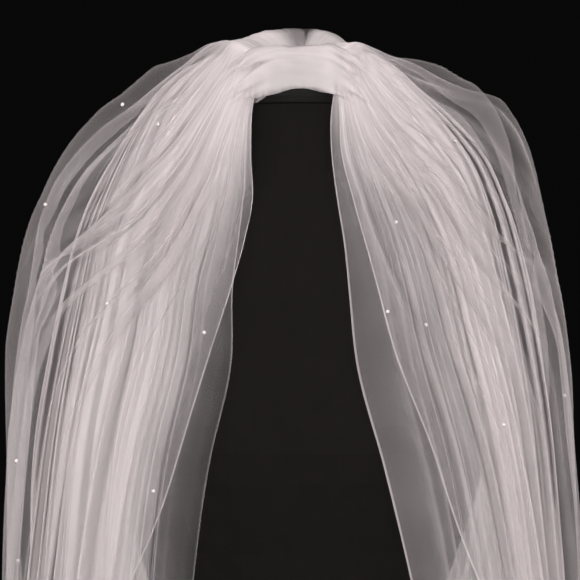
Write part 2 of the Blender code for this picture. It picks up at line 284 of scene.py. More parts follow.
# %% [markdown]
# ## Folds
#
# A gathered sheet is much wider than what it hangs from, and the spare width has to go somewhere: seen from
# below, its path wanders in and out like a river. A neat way to draw such a path is to set the direction it
# takes rather than its place. The direction swings from side to side by smooth waves, and for each level one
# number, how far it swings, is found so that the path is exactly as long as the cloth is wide.
#
# Near the comb the waves are short, as small as the gathers. Lower down they join into longer ones, and the
# longest ones are the folds that fall to the hem. All phases come from one seeded generator.

# %% Folds from directions
Wave = namedtuple("Wave", "pitch strength")  # mm of cloth for one fold, and its share at each of WAVE_DOWN
WAVE_DOWN = (0, 35, 90, 180, 320, 600, 950)
WIDEST_SWING = 1.8  # radians; a path that swings further would run through itself
WIDEST_LOUDNESS = ((0, 0.8), (120, 1.15), (320, 1.4), (600, 1.65))  # mm down, and its swing there
WANDERS = ((1150, 2.4), (470, 1.5), (210, 0.8))  # mm of cloth, and radians by which a phase wanders
MOST_TURN = 1.3  # radians that a wander turns by, from the comb to the hem
UNEVEN = 0.45  # by how much some folds are louder or softer than others


def wave_field(rng, along, down, length):
    """A slowly changing phase: folds that lean, and are never evenly spaced."""
    total = np.zeros(np.broadcast(along, down).shape)
    for reach, amount in WANDERS:
        start, turn = rng.uniform(0.0, 2 * math.pi), rng.uniform(-MOST_TURN, MOST_TURN)
        total += amount * np.sin(2 * math.pi * along / reach + start + turn * down / length)
    return total


def swing_field(waves, seed, along, down, length):
    """Which way the cloth heads at each place, before it is scaled to use up the width."""
    rng = np.random.default_rng(seed)
    total = np.zeros(np.broadcast(along, down).shape)
    for wave in waves:
        phase = wave_field(rng, along, down, length)
        louder = 1.0 + UNEVEN * np.sin(wave_field(rng, along, down, length))
        share = np.interp(down, WAVE_DOWN, wave.strength)
        total += share * louder * np.sin(2 * math.pi * along / wave.pitch + phase)
    return total


def moving_average(values, span):
    """The mean of each value's neighbours, span on either side."""
    padded = np.pad(values, span, mode="edge")
    sums = np.cumsum(np.concatenate([[0.0], padded]))
    return (sums[2 * span + 1 :] - sums[: -2 * span - 1]) / (2 * span + 1)


def blurred(field, span):
    """A field softened over its neighbours, down and across."""
    for axis in (0, 1):
        field = np.apply_along_axis(moving_average, axis, field, span)
    return field


def scaled_to_fit(swing, share, span, loudest):
    """The directions scaled so that the path gets the wanted share of its length forward at each place."""
    loudness = np.sqrt(moving_average(moving_average(swing**2, span), span))
    wanted = np.sqrt(2.0 * np.log(1.0 / np.clip(share, 0.02, 0.985)))
    wanted = np.minimum(wanted, loudest)
    return WIDEST_SWING * np.tanh(wanted * swing / np.maximum(loudness, 1e-6) / WIDEST_SWING)


# %% [markdown]
# ## Main folds and flutes
#
# The folds that catch the eye are placed one by one, before the small ones go on. A main fold is a soft ridge
# or trough down the cloth. A flute is a sharp ridge, where stiff net stands out from the drape as a thin fin
# with nothing behind it. Its height is given at a few places down it, with straight runs between them,
# because net bends in flats and corners rather than in curves. Only the upper tier has flutes.

# %% Main folds
# depth is how far it sinks in, in mm, and it grows from starts to full, in mm down. lean is how far it
# has moved round the form at the hem.
Fold = namedtuple("Fold", "where width depth starts full lean", defaults=(0.0,))
LOWER_FOLDS = [Fold(*row) for row in (
    (-0.93, 0.035, 5, 90, 260, -0.01),
    (-0.82, 0.03, -6, 70, 300, -0.02),
    (-0.71, 0.045, 8, 60, 220, -0.01),
    (-0.6, 0.032, -6, 120, 330, 0.01),
    (-0.49, 0.05, 9, 80, 260, 0.02),
    (-0.36, 0.038, -8, 70, 280),
    (-0.25, 0.045, 9, 90, 320, 0.02),
    (-0.13, 0.035, -7, 60, 240, -0.01),
    (-0.02, 0.048, 9, 80, 300, -0.02),
    (0.11, 0.04, -8, 70, 260, 0.01),
    (0.22, 0.036, 8, 100, 340, 0.02),
    (0.34, 0.05, -8, 70, 270),
    (0.46, 0.042, 9, 60, 240, -0.02),
    (0.57, 0.034, -6, 110, 320, -0.01),
    (0.68, 0.046, 8, 80, 250, 0.01),
    (0.8, 0.034, -6, 90, 310, 0.02),
    (0.91, 0.036, 5, 80, 280, 0.01),
)]
UPPER_FOLDS = [Fold(*row) for row in (
    (-0.5, 0.15, 9, 40, 120),
    (0.48, 0.13, 12, 30, 90),
    (0.34, 0.11, 12, 30, 80),
    (0.67, 0.065, 6, 18, 50),
    (-0.31, 0.1, 6, 35, 100),
    (-0.9, 0.04, 8, 120, 320, -0.01),
    (-0.77, 0.05, -9, 90, 300, -0.02),
    (-0.63, 0.045, 12, 110, 360, 0.01),
    (-0.5, 0.055, -10, 80, 300, 0.02),
    (-0.35, 0.045, 11, 100, 340, 0.01),
    (-0.2, 0.05, -10, 90, 280, -0.02),
    (-0.06, 0.045, 12, 80, 320, 0.01),
    (0.08, 0.05, -9, 100, 300, 0.02),
    (0.23, 0.045, 11, 90, 330, -0.01),
    (0.38, 0.055, -10, 80, 290, 0.01),
    (0.52, 0.045, 12, 110, 350, 0.02),
    (0.66, 0.05, -9, 90, 300),
    (0.79, 0.042, 10, 100, 330, -0.01),
    (0.92, 0.04, -6, 120, 340),
)]

# %% Flutes
Flute = namedtuple("Flute", "where width lean down height")  # mm down, and mm out there
UPPER_FLUTES = [Flute(*row) for row in (
    (-0.68, 0.022, 0.03, (80, 140, 230, 330, 480, 760), (0, 10, 16, 12, 18, 12)),
    (-0.59, 0.026, 0, (80, 130, 190, 260, 350, 520, 760), (0, 8, 18, 22, 16, 22, 14)),
    (-0.49, 0.028, -0.02, (62, 94, 131, 190, 280, 420, 760), (0, 9, 27, 30, 20, 26, 14)),
    (-0.38, 0.026, -0.02, (80, 120, 180, 300, 450, 760), (0, 8, 14, 14, 20, 12)),
    (-0.22, 0.026, 0, (90, 170, 290, 420, 760), (0, 16, 20, 14, 12)),
    (-0.05, 0.026, 0, (110, 190, 330, 480, 760), (0, 14, 22, 16, 12)),
    (0.12, 0.028, 0.01, (100, 180, 280, 430, 760), (0, 16, 14, 20, 12)),
    (0.27, 0.026, 0.02, (90, 150, 210, 340, 760), (0, 10, 18, 14, 12)),
    (0.4, 0.026, 0.02, (80, 120, 180, 260, 420, 760), (0, 8, 16, 14, 22, 14)),
    (0.5, 0.03, 0.01, (78, 96, 135, 168, 200, 280, 420, 760), (0, 11, 31, 37, 32, 20, 26, 14)),
    (0.59, 0.026, 0, (80, 125, 160, 190, 230, 300, 450, 760), (0, 10, 20, 31, 27, 20, 22, 14)),
    (0.7, 0.022, -0.02, (80, 140, 230, 360, 760), (0, 10, 16, 12, 10)),
)]
FLUTE_SHAPE = 1.7  # the power of its cross-section: 2 would be a round bell, 1 a tent
TAUT_HEIGHT = 7.0  # mm from which a flute stands taut
MOST_CALM = 0.92  # the share of the small folds that a taut flute takes away
SINK_STARTS, SINK_GROWS = 55.0, 120.0  # mm down, where a tier's sink begins, and over which it grows
SINK_ENDS, SINK_FADES = 0.72, 0.24  # round the form, where the sink ends, and over which it fades


def fold_depth(tier, across, down):
    """How far the main folds and flutes sink in (+) or stand out (-) at a place."""
    off_edges = 1.0 - smooth_step((np.abs(across) - SINK_ENDS) / SINK_FADES)
    depth = tier.sink * smooth_step((down - SINK_STARTS) / SINK_GROWS) * off_edges
    for fold in tier.folds:
        centre = fold.where + fold.lean * down / tier.length
        share = smooth_step((down - fold.starts) / (fold.full - fold.starts))
        depth = depth + fold.depth * share * np.exp(-(((across - centre) / fold.width) ** 2))
    for flute in tier.flutes:
        centre = flute.where + flute.lean * down / tier.length
        height = np.interp(down, flute.down, flute.height)
        depth = depth - height * np.exp(-(np.abs((across - centre) / flute.width) ** FLUTE_SHAPE))
    return depth


def calm_share(tier, across, down, reach):
    """The share of the small folds that is left at a place: within a taut flute's reach they die away."""
    calm = np.zeros(np.broadcast(across, down).shape)
    for flute in tier.flutes:
        centre = flute.where + flute.lean * down / tier.length
        height = np.interp(down, flute.down, flute.height)
        near = np.exp(-(((across - centre) / (reach * flute.width)) ** 2))
        calm = np.maximum(calm, near * np.clip(height / TAUT_HEIGHT, 0.0, 1.0))
    return 1.0 - MOST_CALM * calm


def folded_form(tier, distances):
    """Points of a tier's form with its main folds in it, and the directions out of it."""
    plain = form_points(tier.sections, distances)
    depth = fold_depth(tier, ROUND_FORM[None, :], distances[:, None])
    folded = plain - outward_of(plain, distances) * depth[..., None]
    return folded, unit_of(blurred(outward_of(folded, distances), 3))


# %% [markdown]
# ## One tier
#
# A tier starts as a flat grid in the shape of its cut, with rounded lower corners, and keeps its flat sizes
# as its UV map, in metres, so that the net can be drawn on it at its true size. Each point then goes to its
# place on the form. Two numbers are kept at each point for the net: how crowded it is there, and how far it
# is from the cut edge. Folds of a millimetre or two are too fine to be drawn one by one, so where a lot of
# net lies in them, or very little, a patch says how many times as crowded the net is. One thin patch is
# painted shade instead: it makes the net sparse at the lower tier's left front edge, so that it shows darker
# there.

# %% Cut, rows and columns
Tier = namedtuple(
    "Tier",
    "name width length corner sections folds flutes sink waves seed columns rows fullness flat_until free_at"
    " patches notch",
)
Patch = namedtuple("Patch", "where width down tall times")  # down and tall in mm
EDGE_COLUMNS = (0.0, 0.8, 2.0, 4.0, 7.0)  # mm from the front edges, where the columns are close together


def column_places(tier):
    """Where the columns are across the flat cloth, in mm from its middle."""
    half = tier.width / 2
    edge = np.array(EDGE_COLUMNS[:-1])
    last = half - EDGE_COLUMNS[-1]
    inner = np.linspace(-last, last, tier.columns + 1 - 2 * len(edge))
    return np.concatenate([-half + edge, inner, (half - edge)[::-1]])


EVEN_ROWS, GROWING_ROWS = 0.42, 0.58  # how much of the rows' spacing is even, and how much grows downwards


def row_shares(tier):
    """Where the rows are down the cloth, as shares of its length, closest at the gathers."""
    even = np.linspace(0.0, 1.0, tier.rows + 1)
    return EVEN_ROWS * even + GROWING_ROWS * even**2.1


def hem_length(tier, along):
    """Length of the cloth at a place across it, shorter where the lower corners are rounded."""
    from_edge = tier.width / 2 - np.abs(along)
    inside = np.clip(tier.corner - from_edge, 0.0, tier.corner)
    return tier.length - tier.corner + np.sqrt(tier.corner**2 - inside**2)


def edge_distance(tier, along, down):
    """How far a place is from the cut edge, in mm."""
    from_side = tier.width / 2 - np.abs(along)
    in_corner = (from_side < tier.corner) & (down > tier.length - tier.corner)
    to_centre = np.hypot(tier.corner - from_side, down - (tier.length - tier.corner))
    straight = np.minimum(from_side, tier.length - down)
    return np.maximum(np.where(in_corner, tier.corner - to_centre, straight), 0.0)


# %% The cloth's points
SPAN = 120.0  # mm of cloth to each side over which the folds are kept centred on the form
EDGE_HELD = 80.0  # mm of cloth over which the folds die away to the front edges
GATHERED = 0.05  # how high the small folds stand at the comb, as a share of their free height
AT_EDGE = 0.25  # how high they stand at the front edges


def places_round(tier, along):
    """Which place round the form each column of the cloth hangs at, at each level of the fullness tables."""
    fine = np.linspace(-1.0, 1.0, 801)
    hanging = []
    for _, where, full in tier.fullness:
        fullness = np.interp(fine, where, full)
        taken = np.concatenate([[0.0], np.cumsum((fullness[1:] + fullness[:-1]) / 2)])
        hanging.append(np.interp(along / tier.width + 0.5, taken / taken[-1], fine))
    return np.array(hanging)


def cloth_points(tier):
    """Points of the gathered cloth on a regular grid of the flat cloth, and how crowded it is."""
    along = column_places(tier)
    even = np.linspace(0.004, 1.0, 2 * tier.rows)
    levels = np.unique(np.concatenate([row_shares(tier), even])) * tier.length
    surface, outward = folded_form(tier, levels)
    hanging = places_round(tier, along)
    table_levels = [level for level, _, _ in tier.fullness]
    swing = swing_field(tier.waves, tier.seed, along[None, :], levels[:, None], tier.length)
    step = np.gradient(along)
    span = round(SPAN / step.max())
    held = smooth_step((tier.width / 2 - np.abs(along)) / EDGE_HELD)
    points = np.empty((len(levels), len(along), 3))
    crowded = np.empty((len(levels), len(along)))
    for row, level in enumerate(levels):
        round_form = run_along(surface[row])
        after = min(int(np.searchsorted(table_levels, level, side="right")), len(table_levels) - 1)
        before = after - 1
        part = smooth_step((level - table_levels[before]) / (table_levels[after] - table_levels[before]))
        hang = hanging[before] + (hanging[after] - hanging[before]) * part
        target = np.interp(hang, ROUND_FORM, round_form)
        loudest = np.interp(level, *zip(*WIDEST_LOUDNESS))
        heading = scaled_to_fit(swing[row], np.gradient(target) / step, span, loudest)
        free = smooth_step((level - tier.flat_until) / (tier.free_at - tier.flat_until))
        ahead = np.cumsum(np.cos(heading) * step) - target
        ahead -= moving_average(moving_average(ahead, span), span)
        ahead *= held * calm_share(tier, hang, level, 1.1)
        aside = np.cumsum(np.sin(heading) * step)
        aside -= moving_average(moving_average(aside, span), span)
        high = (GATHERED + (1.0 - GATHERED) * free) * (AT_EDGE + (1.0 - AT_EDGE) * held)
        aside *= high * calm_share(tier, hang, level, 2.0)
        round_place = target + ahead * free
        place = np.interp(round_place, round_form, ROUND_FORM)
        for axis in range(3):
            base = np.interp(place, ROUND_FORM, surface[row, :, axis])
            points[row, :, axis] = base + aside * np.interp(place, ROUND_FORM, outward[row, :, axis])
        path = np.linalg.norm(np.diff(points[row], axis=0), axis=1)
        spare = np.diff(along) / np.maximum(path, 1e-6)
        crowded[row] = moving_average(np.concatenate([spare[:1], spare]), 2)
    return levels, points, crowded


def at_rows(levels, field, down):
    """A field on the regular levels, read at each column's own distances down."""
    index = np.clip(np.searchsorted(levels, down) - 1, 0, len(levels) - 2)
    part = (down - levels[index]) / (levels[index + 1] - levels[index])
    columns = np.broadcast_to(np.arange(down.shape[1]), down.shape)
    first, second = field[index, columns], field[index + 1, columns]
    if field.ndim == 3:
        part = part[..., None]
    return first + (second - first) * part


# %% [markdown]
# Cloth can't pass through what it lies on. Points that come too near the body, the cap or the comb are moved
# out to a hair's breadth from it, and the upper tier is lifted where it would run through the lower one.

# %% Keep the cloth clear
CLEAR = 0.9  # mm
SEARCH = 0.03  # metres around a point in which a solid's face is looked for


def tree_of(piece):
    """A search tree of a piece's faces."""
    data = piece.data
    return BVHTree.FromPolygons([v.co for v in data.vertices], [tuple(p.vertices) for p in data.polygons])


CAP_TREE = tree_of(nodes["form_neck_cap"])


def keep_outside(points, trees, clear):
    """Moves points, in metres, that are in or too near a solid straight out of it."""
    flat = points.reshape(-1, 3)
    moved = 0
    for index, point in enumerate(flat):
        for tree in trees:
            near, normal, _, _ = tree.find_nearest(Vector(point), SEARCH)
            if near is not None:
                height = (Vector(point) - near).dot(normal)
                if height < clear:
                    flat[index] += np.array(normal) * (clear - height)
                    moved += 1
    return moved


def lift_over(points, outward, tree, clear):
    """How far each point has to move out so as to lie over a sheet, in metres."""
    reach, most = 0.045, 0.02  # metres from which it looks back, and the most that a point may move
    lift = np.zeros(points.shape[:2])
    for index in np.ndindex(lift.shape):
        start = Vector(points[index] + outward[index] * reach)
        hit, _, _, away = tree.ray_cast(start, -Vector(outward[index]), reach + clear)
        if hit is not None and away > reach + clear - most:
            lift[index] = reach + clear - away
    return lift


# %% [markdown]
# A thread is round, so a crumpled net is lit far more evenly than crumpled paper: its brightness changes with
# how much of it there is, and little with the way that each small fold faces. So each point keeps a softened
# direction of its own, the mean over its neighbours, and the net is lit as if it faced that way.

# %% Make a sheet
STEADY = 1.8  # how strongly the plain form's own direction counts beside the softened one
FRONTWARD = np.array((0.0, -1.2, 0.0))  # round threads at the sides still show light from in front


def soft_directions(points, span, steady):
    """The directions that a sheet faces, softened over each point's neighbours and drawn to steady ones."""
    sharp = np.cross(np.gradient(points, axis=1), np.gradient(points, axis=0))
    sharp /= np.maximum(np.linalg.norm(sharp, axis=-1, keepdims=True), 1e-12)
    return unit_of(np.stack([blurred(sharp[..., axis], span) for axis in range(3)], axis=-1) + steady)


def sheet_object(name, points, uv, values, facing):
    """A grid of faces through points, in metres, with the flat cloth as UV map and values at its points."""
    rows, columns = points.shape[:2]
    mesh = bmesh.new()
    bmesh.ops.create_grid(mesh, x_segments=columns - 1, y_segments=rows - 1, size=1.0)
    data = bpy.data.meshes.new(name)
    mesh.to_mesh(data)
    mesh.free()
    flat = np.empty(len(data.vertices) * 3)
    data.vertices.foreach_get("co", flat)
    flat = flat.reshape(-1, 3)
    column = np.rint((1.0 - flat[:, 0]) / 2.0 * (columns - 1)).astype(int)
    row = np.rint((1.0 - flat[:, 1]) / 2.0 * (rows - 1)).astype(int)
    data.vertices.foreach_set("co", points[row, column].ravel())
    for value_name, field in values.items():
        attribute = data.attributes.new(value_name, "FLOAT", "POINT")
        attribute.data.foreach_set("value", field[row, column].astype(np.float32))
    attribute = data.attributes.new("facing", "FLOAT_VECTOR", "POINT")
    attribute.data.foreach_set("vector", facing[row, column].astype(np.float32).ravel())
    corner = np.empty(len(data.loops), dtype=np.int32)
    data.loops.foreach_get("vertex_index", corner)
    layer = data.uv_layers.new(name="flat cloth")
    layer.data.foreach_set("uv", uv[row, column][corner].astype(np.float32).ravel())
    data.update()
    data.shade_smooth()
    return add_object(name, data)


def hanging_directions(tier, levels):
    """The directions out of the plain form, at the places where the cloth's columns hang."""
    plain = outward_of(form_points(tier.sections, levels), levels)
    place = np.interp(places_round(tier, column_places(tier))[-1], ROUND_FORM, np.arange(FORM_COLUMNS + 1))
    return plain[:, np.rint(place).astype(int)]


def make_tier(tier, over=None):
    """The finished sheet of one tier, and its points."""
    columns = column_places(tier)
    down = row_shares(tier)[:, None] * hem_length(tier, columns)[None, :]
    along = np.broadcast_to(columns, down.shape)
    levels, regular, crowd = cloth_points(tier)
    points = at_rows(levels, regular, down) * MM
    points[..., 2] += RIM_UP
    place = places_round(tier, columns)[1][None, :]
    crowded = np.maximum(at_rows(levels, crowd, down), 1.0)
    for patch in tier.patches:
        apart = ((place - patch.where) / patch.width) ** 2 + ((down - patch.down) / patch.tall) ** 2
        crowded *= 1.0 + (patch.times - 1.0) * np.exp(-(apart**2))
    if tier.notch:
        reaches, where, half = tier.notch
        inside = np.interp(down, reaches, half) - np.abs(place - np.interp(down, reaches, where))
        crowded = crowded + (NOTCH_LAYERS - crowded) * smooth_step(0.5 + inside / NOTCH_SOFT)
    out = at_rows(levels, hanging_directions(tier, levels), down)
    if over is not None:
        lift = lift_over(points, out, over, CLEAR * MM)
        print(tier.name, "lifted at", int((lift > 0).sum()), "points, most", round(lift.max() / MM, 1), "mm")
        wide = np.maximum(lift, blurred(lift, 4) * 1.3)
        points += out * blurred(wide, 2)[..., None]
    moved = keep_outside(points, [tree_of(nodes["form_torso"]), CAP_TREE], CLEAR * MM)
    uv = np.stack([along, down], axis=-1) * MM
    values = {"crowded": crowded, "from_edge": edge_distance(tier, along, down)}
    made = sheet_object(tier.name, points, uv, values, soft_directions(points, 9, STEADY * out + FRONTWARD))
    print(tier.name, "triangles", 2 * len(made.data.polygons), "moved off the form", moved)
    return made, points


# %% [markdown]
# ## Both tiers
#
# The waves of each tier run from the gathers, a couple of centimetres of cloth each, to the long folds of the
# hem. A fullness table says, at a few levels, where round the form the cloth is full and where it is sparse.
# The lower tier is the fuller one, and its patches fill its two front drapes, while one thin patch at its
# left front edge is painted shade, sparse net that shows darker there. The upper tier is thin over the crown,
# with a notch between its two puffs where hardly any net lies.

# %% Both tiers
LOWER_WAVES = (
    Wave(14, (1, 0.8, 0.6, 0.52, 0.46, 0.34, 0.26)),
    Wave(22, (0.8, 0.9, 0.85, 0.8, 0.7, 0.46, 0.34)),
    Wave(37, (0.3, 0.5, 0.6, 0.62, 0.6, 0.6, 0.56)),
    Wave(64, (0, 0.06, 0.12, 0.2, 0.32, 0.52, 0.6)),
    Wave(120, (0, 0, 0.02, 0.04, 0.08, 0.18, 0.3)),
)
UPPER_WAVES = (
    Wave(15, (1, 0.8, 0.45, 0.3, 0.24, 0.2, 0.18)),
    Wave(25, (0.8, 0.9, 0.7, 0.46, 0.34, 0.28, 0.25)),
    Wave(43, (0.3, 0.6, 0.8, 0.85, 0.75, 0.6, 0.55)),
    Wave(78, (0, 0.1, 0.25, 0.42, 0.56, 0.6, 0.6)),
    Wave(150, (0, 0, 0.05, 0.12, 0.2, 0.25, 0.32)),
)
EVEN = ((-1, 1), (1, 1))  # places round the form, and how full it is there
LOWER_FULLNESS = (
    (0, *EVEN),
    (90, (-1, -0.94, -0.88, -0.7, -0.5, -0.3, 0.3, 0.5, 0.7, 0.86, 0.92, 1),
     (0.5, 0.9, 1.9, 1.8, 1.1, 0.7, 0.7, 1.1, 1.8, 1.9, 0.6, 0.4)),
    (330, (-1, -0.93, -0.88, -0.68, -0.5, -0.3, 0.3, 0.5, 0.66, 0.84, 0.9, 1),
     (0.5, 0.6, 2.2, 2.1, 1.1, 0.5, 0.5, 1.1, 2.1, 2.2, 0.6, 0.4)),
    (910, (-1, -0.84, -0.3, 0.3, 0.82, 1), (0.6, 1.4, 0.8, 0.8, 1.4, 0.6)),
)
UPPER_FULLNESS = (
    (0, *EVEN),
    (70, (-1, -0.84, -0.72, -0.6, -0.4, -0.2, -0.04, 0.09, 0.14, 0.35, 0.6, 0.72, 0.84, 1),
     (1.6, 2.2, 0.9, 0.35, 0.35, 0.9, 0.25, 0.25, 0.9, 0.35, 0.35, 0.9, 2.2, 1.6)),
    (200, (-1, -0.86, -0.74, -0.64, -0.35, -0.1, 0.1, 0.35, 0.64, 0.74, 0.86, 1),
     (1.3, 2.3, 1.2, 0.45, 0.45, 0.9, 0.9, 0.45, 0.45, 1.2, 2.3, 1.3)),
    (420, (-1, -0.8, -0.5, 0.5, 0.8, 1), (1, 1.4, 1, 1, 1.4, 1)),
    (760, *EVEN),
)
LOWER_PATCHES_WITH_PAINTED_SHADE = (
    Patch(-0.6, 0.33, 250, 560, 9),
    Patch(0.55, 0.27, 250, 560, 9),
    # Painted shade: sparse net at the left front edge, so that it shows darker there.
    Patch(-1, 0.09, 420, 360, 0.15),
    Patch(1, 0.1, 220, 150, 0.8),
    Patch(0, 0.32, 350, 640, 3),
)
UPPER_PATCHES = (
    Patch(0.045, 0.2, 70, 45, 0.55),
    Patch(-0.86, 0.1, 90, 230, 2.2),
    Patch(0.86, 0.09, 90, 200, 1.8),
    Patch(-1, 0.08, 420, 300, 0.7),
)
UPPER_NOTCH = (  # mm down, where round the form, and half of its width
    (28, 36, 70, 85, 105, 140, 230, 300),
    (0.085, 0.08, 0.043, 0.04, 0.034, 0.022, 0.016, 0.012),
    (-0.02, 0, 0.038, 0.041, 0.038, 0.029, 0.018, -0.02),
)
NOTCH_LAYERS = 0.22
NOTCH_SOFT = 0.012  # how wide its edges are
LOWER_TIER = Tier(
    name="veil_lower_tier_net", width=2740, length=910, corner=420, sections=LOWER_SECTIONS,
    folds=LOWER_FOLDS, flutes=(), sink=9, waves=LOWER_WAVES, seed=11, columns=1340, rows=70,
    fullness=LOWER_FULLNESS, flat_until=10, free_at=200, patches=LOWER_PATCHES_WITH_PAINTED_SHADE, notch=(),
)
UPPER_TIER = Tier(
    name="veil_upper_tier_net", width=1524, length=760, corner=340, sections=UPPER_SECTIONS,
    folds=UPPER_FOLDS, flutes=UPPER_FLUTES, sink=22, waves=UPPER_WAVES, seed=23, columns=860, rows=112,
    fullness=UPPER_FULLNESS, flat_until=45, free_at=240, patches=UPPER_PATCHES, notch=UPPER_NOTCH,
)

lower_net, lower_points = make_tier(LOWER_TIER)
lower_tree = tree_of(lower_net)
upper_net, upper_points = make_tier(UPPER_TIER, lower_tree)
upper_tree = tree_of(upper_net)

# %% [markdown]
# ## The heading
#
# The gathered edges of both tiers are sewn to the comb under a soft roll of the same net, which hides the
# bar. It starts as a tube of cloth round a curved line that follows the front of the comb, then comes forward
# and down over both sides of the drape, thinning out as it goes. Its lower half comes forward as a lip, which
# lies on the cap's dome. Small uneven tucks run along it, and it is laid over the drape where they meet.

# %% Heading
# mm: how far across, then y, height of the middle over the rim, radius, and how far the lip comes forward.
HEADING_LINE = (
    (-92, -46, -22, 11, 0),
    (-74, -44, -6, 12.5, 0),
    (-58, -39, 7.5, 13.5, 1),
    (-44, -32.5, 17, 14, 10),
    (-30, -26, 22.8, 13.9, 15),
    (-17, -21, 25, 13.6, 17),
    (-6, -18.5, 25.8, 12.3, 12),
    (5, -18, 26.3, 11.6, 10),
    (17, -21, 26, 12.9, 14),
    (28, -25.5, 24.4, 14.2, 11),
    (41, -32, 18.5, 14, 4),
    (55, -39, 9, 13.5, 0),
    (71, -44, -5, 12.5, 0),
    (88, -46, -20, 11, 0),
)
HEADING_TALL = 1.6  # how much taller than deep it is
LIP_TALL = 0.024  # how much taller still, for each mm of lip
HEADING_TUCKS = ((7, 0.40), (11, 0.30), (19, 0.18), (31, 0.09))  # how many round it, and mm high
HEADING_ALONG, HEADING_ROUND = 170, 108  # columns and rows
HEADING_LAYERS = 9.0
LAID_OVER = 0.0015  # metres between it and the drape
AWAY_FROM_EDGES = 9.0  # mm, because its cut edges are sewn in
CAP_RADIUS, CAP_DOME = 0.054, 0.012  # metres


def drape_front(x, z, reach=0.2):
    """How far forward, as y in metres, both nets come at places across and up."""
    front = np.full(np.broadcast(x, z).shape, 0.02)
    for index in np.ndindex(front.shape):
        for tree in (lower_tree, upper_tree):
            hit = tree.ray_cast(Vector((x[index], -reach, z[index])), Vector((0.0, 1.0, 0.0)), reach)[0]
            if hit is not None:
                front[index] = min(front[index], hit.y)
    return front


def grown(field, span):
    """The most of a field over its neighbours, down and across."""
    for axis in (0, 1):
        padded = np.pad(field, [(span, span) if side == axis else (0, 0) for side in (0, 1)], mode="edge")
        field = np.lib.stride_tricks.sliding_window_view(padded, 2 * span + 1, axis=axis).max(axis=-1)
    return field


def heading_points():
    """Rings of the roll, in metres, from its left end to its right end, and its layers of net."""
    rng = np.random.default_rng(5)
    line = np.array(HEADING_LINE)
    x = np.linspace(line[0, 0], line[-1, 0], HEADING_ALONG + 1)[:, None]
    y, up, radius, lip = smooth_between(line[:, 0], line[:, 1:], x[:, 0]).T[..., None]
    share = x / line[-1, 0]
    turn = np.linspace(math.radians(205.0), math.radians(-115.0), HEADING_ROUND + 1)[None, :]
    radius = radius * (1.0 + 0.03 * np.sin(11.5 * share + 0.7) + 0.02 * np.sin(25.0 * share))
    leaning = turn + 0.9 * np.sqrt(share**2 + 0.02)
    tucks = np.zeros(leaning.shape)
    for count, height in HEADING_TUCKS:
        wander = sum(rng.uniform(0.3, 1.0) * np.sin(k * share * 4.0 + rng.uniform(0, 6.3)) for k in (1, 2, 3))
        tucks += height * np.sin(count * leaning + 1.6 * wander)
    reach = radius + tucks
    lip = lip * smooth_step(-turn / math.radians(60.0))
    tall = (HEADING_TALL + LIP_TALL * lip) * reach * np.sin(turn)
    points = MM * np.stack(np.broadcast_arrays(x, y - reach * np.cos(turn) - lip, up + tall), axis=-1)
    from_pole = np.hypot(points[..., 0], points[..., 1]) / CAP_RADIUS
    dome = np.where(from_pole < 1.0, CAP_DOME * (1.0 - from_pole**2), -1.0)
    points[..., 2] = RIM_UP + np.maximum(points[..., 2], dome)
    laid = drape_front(points[..., 0], points[..., 2]) - LAID_OVER
    before = smooth_step((np.cos(turn) + 0.35) / 0.3)
    forward = np.maximum(points[..., 1] - laid, 0.0) * before
    points[..., 1] -= blurred(blurred(grown(forward, 7), 4), 3)
    # The net thins out to the roll's lower edge, over its top and to both ends, along uneven lines.
    streaks = np.sin(5.0 * leaning + 1.0) + 0.8 * np.sin(9.0 * leaning + 2.4 * share)
    streaks += 0.6 * np.sin(17.0 * leaning)
    ragged = np.sin(share * 61.0 + 1.0) + np.sin(share * 97.0) + np.sin(share * 143.0 + 2.0)
    ends = smooth_step((np.abs(x) - 24.0) / 24.0)
    lifted = turn + np.radians(102.0 - 18.0 * ends + 5.0 * ragged)
    below = smooth_step(lifted / np.radians(65.0 + 25.0 * ends))
    above = smooth_step((math.radians(128.0) + math.radians(5.0) * streaks - turn) / math.radians(75.0))
    fade = 1.0 - smooth_step((np.abs(x) - 26.0 - 6.0 * streaks) / 40.0)
    return points, HEADING_LAYERS * fade**2 * below * above * (1.0 + 0.06 * streaks)


heading_cloth, heading_layers = heading_points()
on_cap = keep_outside(heading_cloth, [CAP_TREE, tree_of(nodes["comb"])], 0.5 * MM)
girth = np.linalg.norm(np.diff(heading_cloth, axis=1), axis=-1).sum(axis=1)
run = np.linalg.norm(np.diff(heading_cloth, axis=0), axis=-1).sum(axis=0)
HEADING_FLAT = (float(run.mean()), float(girth.max()))
u = np.linspace(0.0, HEADING_FLAT[0], HEADING_ALONG + 1)[:, None]
v = np.linspace(0.0, HEADING_FLAT[1], HEADING_ROUND + 1)[None, :]
heading = sheet_object(
    "veil_heading_net",
    heading_cloth,
    np.stack(np.broadcast_arrays(u, v), axis=-1),
    {"crowded": heading_layers, "from_edge": np.full(heading_cloth.shape[:2], AWAY_FROM_EDGES)},
    soft_directions(heading_cloth, 4, 0.0),
)
print("heading, flat", [round(size, 3) for size in HEADING_FLAT], "pressed by the cap at", on_cap, "points")

# %% [markdown]
# ## Pearls
#
# A few small pearls are sewn to the net of both tiers, far apart and in no order. Some are placed at listed
# points, and the rest are scattered by a seeded generator with a least distance between them. Each is a small
# ball that sits on the face of the net, and the pearls of one tier are one mesh.

# %% Pearls
PEARL_RADIUS = 1.6  # mm
PEARLS_APART = 0.12  # metres
PICTURE = 580.0  # what the next places are counted in, across and down the camera's view
SEEN_PEARLS = ((395, 223), (388, 312), (427, 325), (204, 333), (108, 304), (123, 105), (157, 124), (154, 491))


